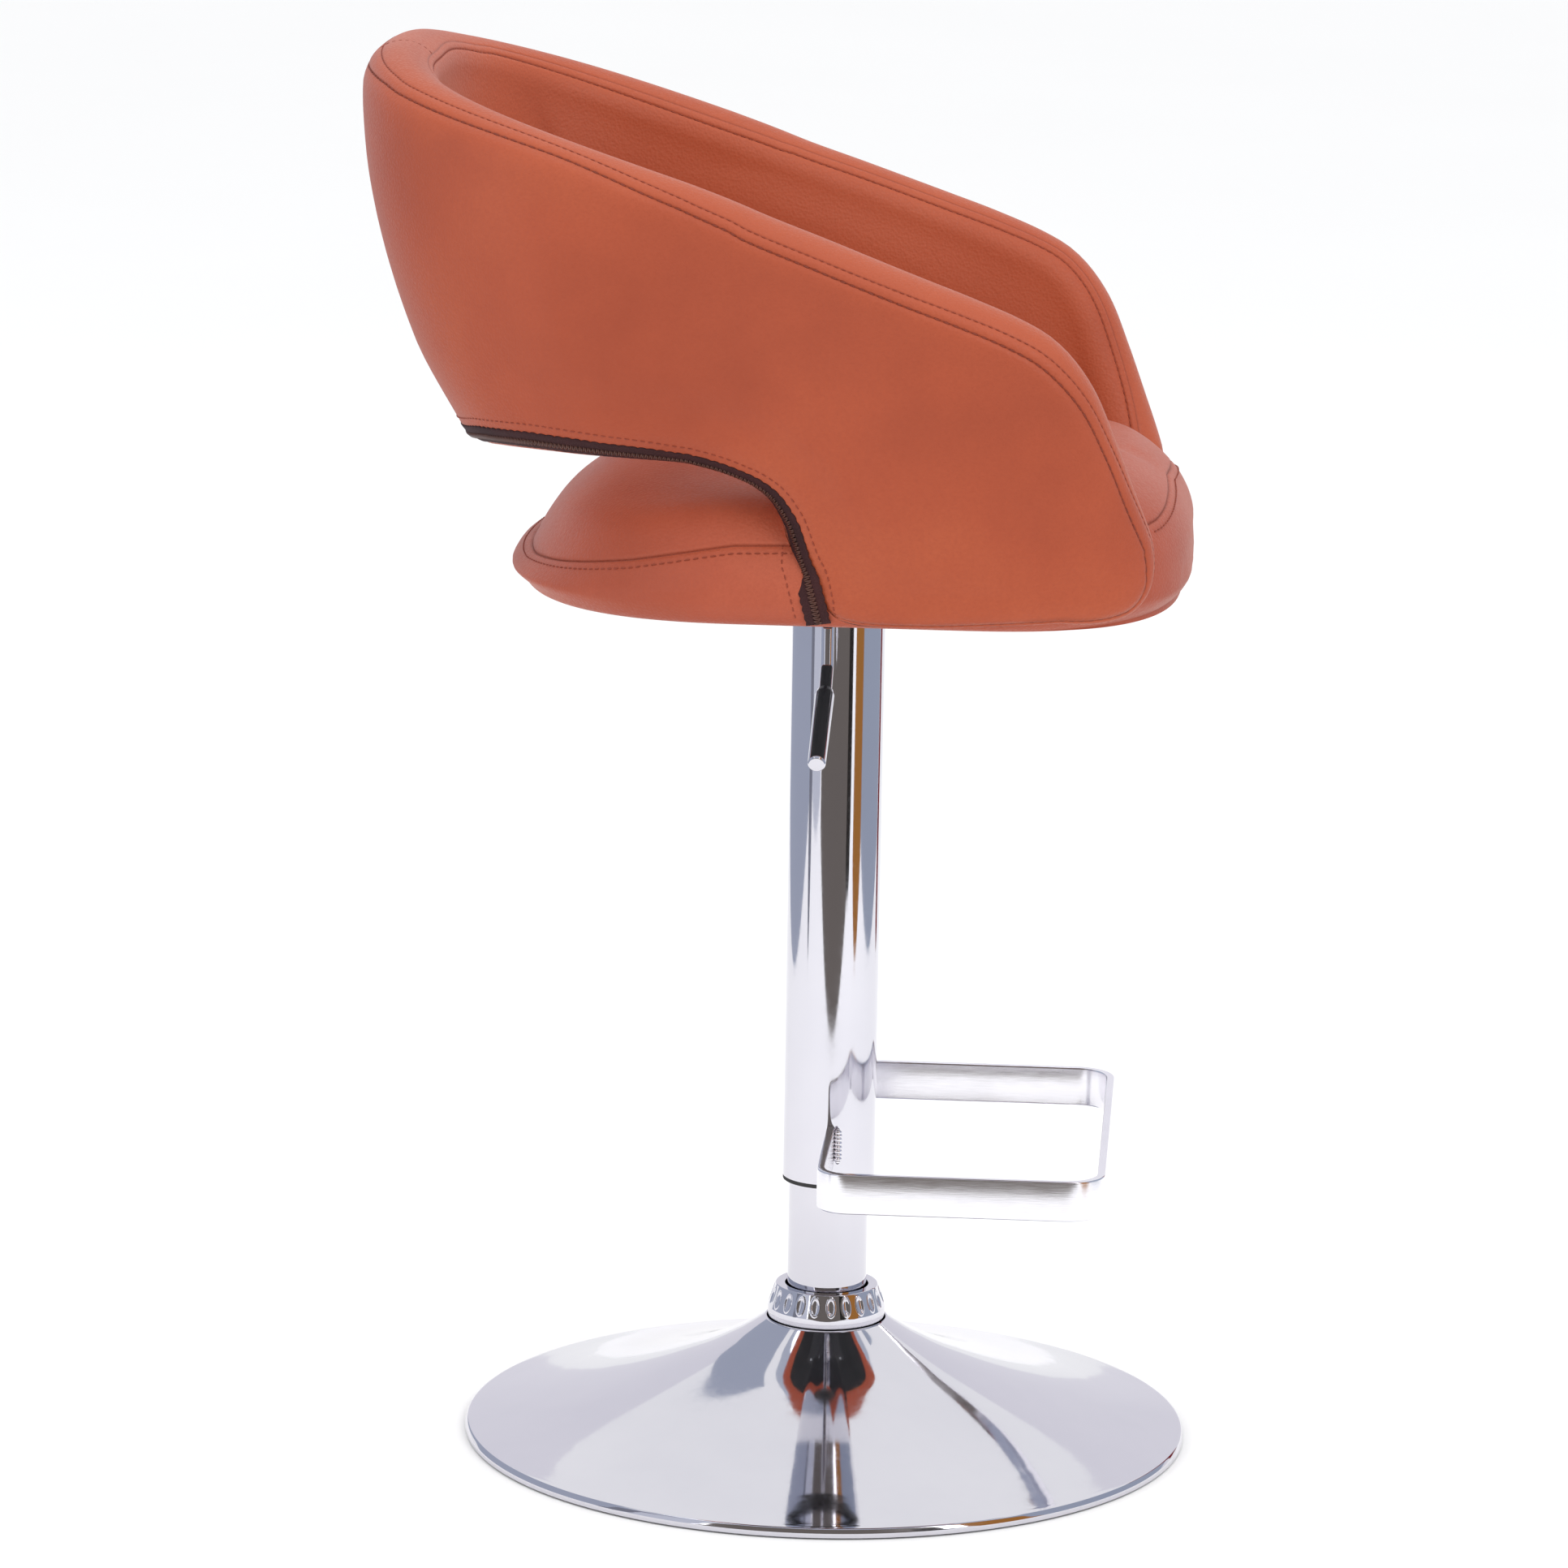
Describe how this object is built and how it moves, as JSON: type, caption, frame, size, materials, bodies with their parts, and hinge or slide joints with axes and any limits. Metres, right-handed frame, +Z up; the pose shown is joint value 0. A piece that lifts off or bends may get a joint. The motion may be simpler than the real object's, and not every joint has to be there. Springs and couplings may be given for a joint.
{
  "type": "bar stool with footrest",
  "caption": "Height-adjustable swivel bar stool: padded wrap-around bucket seat on a gas-lift column with a release lever, a flat-bar footrest and a round trumpet base.",
  "frame": {"origin": "column axis at floor level, on the underside of the base pad", "axes": "+Z up along the column; the sitter faces -Y, so the footrest reaches towards -Y and the backrest is at +Y; +X is the sitter's left, and the height lever is on the sitter's right at -X"},
  "size_m": [0.456, 0.5215, 0.8809],
  "materials": {
    "chrome": "polished mirror chrome plate",
    "steel": "zinc plated steel",
    "black_steel": "black powder coat",
    "black_plastic": "moulded black plastic",
    "rubber": "matt black rubber",
    "nylon": "natural nylon",
    "plywood": "raw plywood",
    "lining": "non-woven black dust cover",
    "leather": "orange-brown faux leather with fine pebble grain and soft sheen",
    "zipper": "dark maroon woven tape with nylon coil"
  },
  "bodies": {
    "base": {"floor_pad": "rubber", "base_weight": "steel", "base_disc": "chrome", "base_socket": "black_steel", "collar": "chrome", "lower_tube": "chrome", "guide_bush": "nylon", "tube_end_plate": "steel", "bearing_washer_lower": "steel"},
    "spindle": {"bearing_cage": "steel", "bearing_washer_upper": "steel", "bump_rubber": "rubber", "piston_rod": "chrome", "rod_clip": "steel", "piston": "black_plastic"},
    "carriage": {"gas_cylinder": "black_steel", "cylinder_gland": "nylon", "cover_tube": "chrome", "cover_ring": "black_plastic", "footrest_loop": "chrome", "footrest_weld_right": "chrome", "footrest_weld_left": "chrome", "seat_plate": "black_steel", "dust_cover": "lining", "seat_board": "plywood", "plate_bolt_1": "steel", "plate_bolt_2": "steel", "plate_bolt_3": "steel", "plate_bolt_4": "steel", "tee_nut_1": "steel", "tee_nut_2": "steel", "tee_nut_3": "steel", "tee_nut_4": "steel", "frame_bolt_right": "steel", "frame_bolt_left": "steel", "taper_socket": "black_steel", "lever_bracket": "black_steel", "lever_pivot_pin": "steel", "seat_cushion": "leather", "back_shell": "leather", "shell_frame": "steel", "frame_insert_right": "steel", "frame_insert_left": "steel", "shell_zipper": "zipper"},
    "lever": {"lever_rod": "chrome", "lever_grip": "chrome"},
    "release_pin": {"release_pin": "steel"}
  },
  "joints": [
    {"name": "swivel", "type": "hinge", "parent": "base", "child": "spindle", "pos_m": [0, 0, 0.04], "axis": [0, 0, 1], "continuous": true},
    {"name": "lift", "type": "slide", "parent": "spindle", "child": "carriage", "axis": [0, 0, 1], "range_m": [0, 0.21]},
    {"name": "lever_pull", "type": "hinge", "parent": "carriage", "child": "lever", "pos_m": [-0.045, 0, 0.544], "axis": [0, 1, 0], "range_deg": [0, 3.5], "stiffness_Nm_per_rad": 6, "springref_deg": -8.59},
    {"name": "pin_press", "type": "slide", "parent": "carriage", "child": "release_pin", "axis": [0, 0, -1], "range_m": [0, 0.0028]}
  ],
  "couplings": [
    {"joint": "pin_press", "follows": "lever_pull", "m_per_rad": 0.045}
  ]
}
